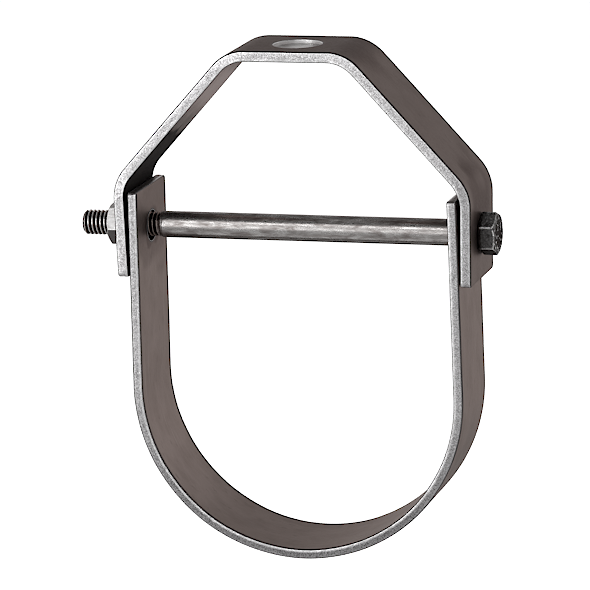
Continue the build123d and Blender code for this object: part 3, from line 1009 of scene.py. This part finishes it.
def bolt_material(name, head_dark, grazing):
    m = Mat(name)
    flat = m.attr("flat", "Vector")
    head, crest, wear_and_highlight, thread, facet_shade = (m.attr(a) for a in ("head", "crest", "wear_and_highlight", "thread", "facet_shade"))
    along = m.noise(flat, (26, 900, 900), 3.0, 0.6)
    mottle = m.noise(flat, (150, 520, 520), 4.0, 0.68, 0.5)
    fine = m.noise(flat, (1300, 1700, 1700), 3.0, 0.7)
    bright = m.mix(m.span(mottle, 0.36, 0.62, 0.0, 1.0), (0.26, 0.236, 0.228, 1), (0.66, 0.648, 0.64, 1))
    bright = m.mix(m.span(along, 0.35, 0.7, 0.45, 0.0), bright, (0.25, 0.222, 0.214, 1))
    # thread colour: painted shade in the roots, brown flanks, painted highlight on the crests
    thread_shade_and_highlight = m.mix(m.span(crest, 0.20, 0.62, 0.0, 1.0), (0.026, 0.021, 0.020, 1), (0.22, 0.165, 0.145, 1))
    thread_shade_and_highlight = m.mix(m.span(crest, 0.58, 0.90, 0.0, 1.0), thread_shade_and_highlight, (0.80, 0.79, 0.78, 1))
    shank = m.mix(thread, bright, thread_shade_and_highlight)
    head_colour = m.mix(m.span(mottle, 0.35, 0.65, 0.0, 1.0), head_dark[0], head_dark[1])
    speck = m.noise(flat, (1150, 1150, 1150), 3.0, 0.8)
    blotch = m.noise(flat, (420, 420, 420), 2.0, 0.6)
    head_colour = m.mix(m.span(speck, 0.58, 0.66, 0.0, 0.80), head_colour, head_dark[2])
    # painted shade on some sides of the hexagon and on the bolt head's end face
    head_colour = m.mix(facet_shade, head_colour, head_dark[4])
    glint = m.noise(flat, (700, 700, 700), 2.0, 0.55)
    place = m.node("ShaderNodeSeparateXYZ")
    m.put(place.inputs[0], flat)
    on_end = m.span(place.outputs["X"], (head_seat_x + head_h - 0.75) * MM, (head_seat_x + head_h - 0.45) * MM, 0.0, 1.0)
    head_colour = m.mix(m.math("MULTIPLY", on_end, m.span(glint, 0.60, 0.63, 0.0, 0.92)), head_colour, (0.86, 0.85, 0.85, 1))
    colour = m.mix(head, shank, head_colour)
    # painted shade in the nut's threaded bore
    inside = m.math("MULTIPLY", head, thread)
    colour = m.mix(inside, colour, (0.10, 0.09, 0.085, 1))
    # bright worn metal on corners, chamfer edges and thread crests, partly a painted highlight
    shine = m.math("MULTIPLY", m.math("MULTIPLY", wear_and_highlight, m.span(blotch, 0.36, 0.50, 0.20, 1.0)),
                   m.span(speck, 0.30, 0.56, 0.25, 1.0), clamp=True)
    colour = m.mix(m.math("MULTIPLY", shine, 0.92), colour, (0.88, 0.87, 0.87, 1))
    m.put(m.shader.inputs["Base Color"], colour)
    m.shader.inputs["Metallic"].default_value = 1.0
    m.shader.inputs["Specular Tint"].default_value = grazing
    base = m.blend(head, m.span(mottle, 0.3, 0.7, 0.36, 0.22), head_dark[3])
    base = m.math("ADD", base, m.span(fine, 0.3, 0.7, -0.03, 0.06))
    m.put(m.shader.inputs["Roughness"], m.blend(m.math("MULTIPLY", shine, 0.6), base, 0.26))
    h = m.math("ADD", m.math("MULTIPLY", fine, m.blend(head, 0.35, 1.4)),
               m.math("ADD", m.math("MULTIPLY", along, 0.35), m.math("MULTIPLY", m.math("MULTIPLY", speck, head), 2.4)))
    m.put(m.shader.inputs["Normal"], m.bump(h, 0.00003))
    return m.mat


yoke_mat = bar_material("yoke_mill_steel", 1.06, 1.22, 0.20)
strap_mat = bar_material("strap_mill_steel", 1.47, 1.04, 0.70)
bolt_mat = bolt_material("bolt_steel_dark_head",
                         ((0.014, 0.012, 0.0115, 1), (0.060, 0.055, 0.052, 1), (0.42, 0.41, 0.41, 1), 0.38,
                          (0.020, 0.017, 0.016, 1)),
                         (0.42, 0.41, 0.41, 1))
nut_mat = bolt_material("nut_steel",
                        ((0.40, 0.388, 0.385, 1), (0.62, 0.61, 0.61, 1), (0.78, 0.77, 0.77, 1), 0.38,
                         (0.060, 0.050, 0.047, 1)),
                        (0.6, 0.58, 0.57, 1))

for obj, node, body, slot, mat in (
    (yoke, "upper_yoke", "yoke", "bar_steel", yoke_mat),
    (strap, "lower_strap", "strap", "bar_steel", strap_mat),
    (bolt_obj, "cross_bolt", "bolt", "bolt_steel", bolt_mat),
    (nut_obj, "hex_nut", "nut", "nut_steel", nut_mat),
):
    obj.data.materials.append(mat)
    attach(obj, body)
    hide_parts(node)

# ---------------------------------------------------------------- floor, light, camera
scene = bpy.context.scene
scene.view_settings.view_transform = "Standard"
scene.view_settings.look = "None"

FLOOR_Z = -0.36


def floor_material():
    m = Mat("pale_floor")
    where = m.node("ShaderNodeTexCoord").outputs["Object"]
    tone = m.noise(where, (1.4, 1.4, 1.4), 3.0, 0.5)
    m.put(m.shader.inputs["Base Color"], m.mix(m.span(tone, 0.3, 0.7, 0.0, 1.0), (0.90, 0.90, 0.90, 1), (0.93, 0.93, 0.93, 1)))
    m.put(m.shader.inputs["Roughness"], m.span(tone, 0.3, 0.7, 0.85, 0.95))
    m.shader.inputs["Specular IOR Level"].default_value = 0.1
    m.shader.inputs["Emission Color"].default_value = (1, 1, 1, 1)
    m.shader.inputs["Emission Strength"].default_value = 0.80
    return m.mat


bm = bmesh.new()
bmesh.ops.create_circle(bm, cap_ends=True, cap_tris=False, segments=96, radius=14.0)
floor_mesh = bpy.data.meshes.new("floor")
bm.to_mesh(floor_mesh)
bm.free()
floor = bpy.data.objects.new("floor", floor_mesh)
floor.location.z = FLOOR_Z
floor.data.materials.append(floor_material())
scene.collection.objects.link(floor)
# the white ground lights the picture's background; the metal mirrors the room instead
floor.visible_glossy = False
floor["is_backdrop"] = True

# the room: a white backdrop behind the object, dimmer overhead, below and on the camera's side
world = bpy.data.worlds.new("room")
scene.world = world
world.use_nodes = True
tree = world.node_tree
back = tree.nodes["Background"]
coord = tree.nodes.new("ShaderNodeTexCoord")
split = tree.nodes.new("ShaderNodeSeparateXYZ")
tree.links.new(coord.outputs["Generated"], split.inputs[0])


def span_node(value, a, b, c, d):
    n = tree.nodes.new("ShaderNodeMapRange")
    n.interpolation_type = "SMOOTHSTEP"
    tree.links.new(value, n.inputs[0])
    for socket, v in zip(n.inputs[1:5], (a, b, c, d)):
        socket.default_value = v
    return n.outputs[0]


def room_side(stops):
    """Brightness by height: (height of the direction from -1 to 1, grey)."""
    up = tree.nodes.new("ShaderNodeMapRange")
    tree.links.new(split.outputs["Z"], up.inputs[0])
    up.inputs[1].default_value, up.inputs[2].default_value = -1.0, 1.0
    ramp = tree.nodes.new("ShaderNodeValToRGB")
    tree.links.new(up.outputs[0], ramp.inputs[0])
    els = ramp.color_ramp.elements
    els[0].position, els[1].position = 0.0, 1.0
    els[0].color = (stops[0][1], stops[0][1], stops[0][1], 1)
    els[1].color = (stops[-1][1], stops[-1][1], stops[-1][1], 1)
    for z, v in stops[1:-1]:
        e = els.new((z + 1) / 2)
        e.color = (v, v, v, 1)
    return ramp.outputs[0]


backdrop = room_side([(-1.0, 0.20), (-0.6, 0.30), (-0.3, 0.88), (0.0, 1.0), (0.12, 0.98), (0.30, 0.95), (0.50, 0.62),
                      (0.75, 0.13), (1.0, 0.06)])
camera_side = room_side([(-1.0, 0.62), (-0.75, 0.58), (-0.5, 0.47), (-0.25, 0.45), (-0.03, 0.58), (0.02, 0.80), (0.10, 0.55),
                         (0.30, 0.17), (1.0, 0.07)])
blend = tree.nodes.new("ShaderNodeMix")
blend.data_type = "RGBA"
tree.links.new(span_node(split.outputs["Y"], -0.15, 0.65, 0.0, 1.0), blend.inputs[0])
tree.links.new(camera_side, blend.inputs[6])
tree.links.new(backdrop, blend.inputs[7])
tree.links.new(blend.outputs[2], back.inputs["Color"])
back.inputs["Strength"].default_value = 1.0


def softbox(name, place, size, radiance, target=(0.0, 0.0, -0.09)):
    """A square or oblong soft light facing the object. radiance is how bright its face is."""
    data = bpy.data.lights.new(name, "AREA")
    data.shape = "RECTANGLE"
    data.size, data.size_y = size
    data.energy = radiance * pi * size[0] * size[1]
    obj = bpy.data.objects.new(name, data)
    scene.collection.objects.link(obj)
    obj.location = place
    aim = (Matrix.Translation(place).to_translation() - Matrix.Translation(target).to_translation())
    obj.rotation_euler = aim.to_track_quat("Z", "Y").to_euler()
    obj.visible_camera = False
    return obj


softbox("key", (-0.50, -0.62, 0.02), (0.45, 0.50), 2.1, (0.0, 0.0, -0.06))
softbox("strip", (-0.10, -1.00, 0.70), (1.10, 0.34), 2.6, (0.0, 0.0, -0.07))
softbox("front", (-0.55, -2.3, 0.35), (1.9, 1.3), 0.7)
softbox("left", (-2.2, -0.3, 0.35), (1.2, 1.2), 0.45)
softbox("right", (2.4, -0.6, -0.05), (1.2, 1.4), 0.55)
softbox("above", (0.0, 0.2, 2.6), (2.2, 2.2), 0.38)

# a little sharpening, as the photograph has
scene.use_nodes = True
comp = scene.node_tree
comp.nodes.clear()
layers = comp.nodes.new("CompositorNodeRLayers")
sharpen = comp.nodes.new("CompositorNodeFilter")
sharpen.filter_type = "SHARPEN_DIAMOND"
sharpen.inputs["Fac"].default_value = 0.20
final = comp.nodes.new("CompositorNodeComposite")
comp.links.new(layers.outputs["Image"], sharpen.inputs["Image"])
comp.links.new(sharpen.outputs[0], final.inputs["Image"])

cam = bpy.data.cameras.new("camera")
cam.sensor_fit = "HORIZONTAL"
cam.sensor_width = 36.0
cam.lens = 251.59
cam.clip_start, cam.clip_end = 0.05, 60.0
camera = bpy.data.objects.new("camera", cam)
right_v = (0.95973944, 0.27887369, -0.03361044)
up_v = (-0.03269673, 0.22975697, 0.97269865)
forward = (-0.27898230, 0.93243831, -0.22962509)
camera.matrix_world = Matrix((
    (right_v[0], up_v[0], -forward[0], 0.42551),
    (right_v[1], up_v[1], -forward[1], -1.43677),
    (right_v[2], up_v[2], -forward[2], 0.26054),
    (0, 0, 0, 1),
))
scene.collection.objects.link(camera)
scene.camera = camera

new_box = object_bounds()


def plain(value):
    """Nested lists of numbers from whatever holds them."""
    return [plain(v) for v in value] if hasattr(value, "__len__") else float(value)


{"cad": plain(cad_box), "visual": plain(new_box)}
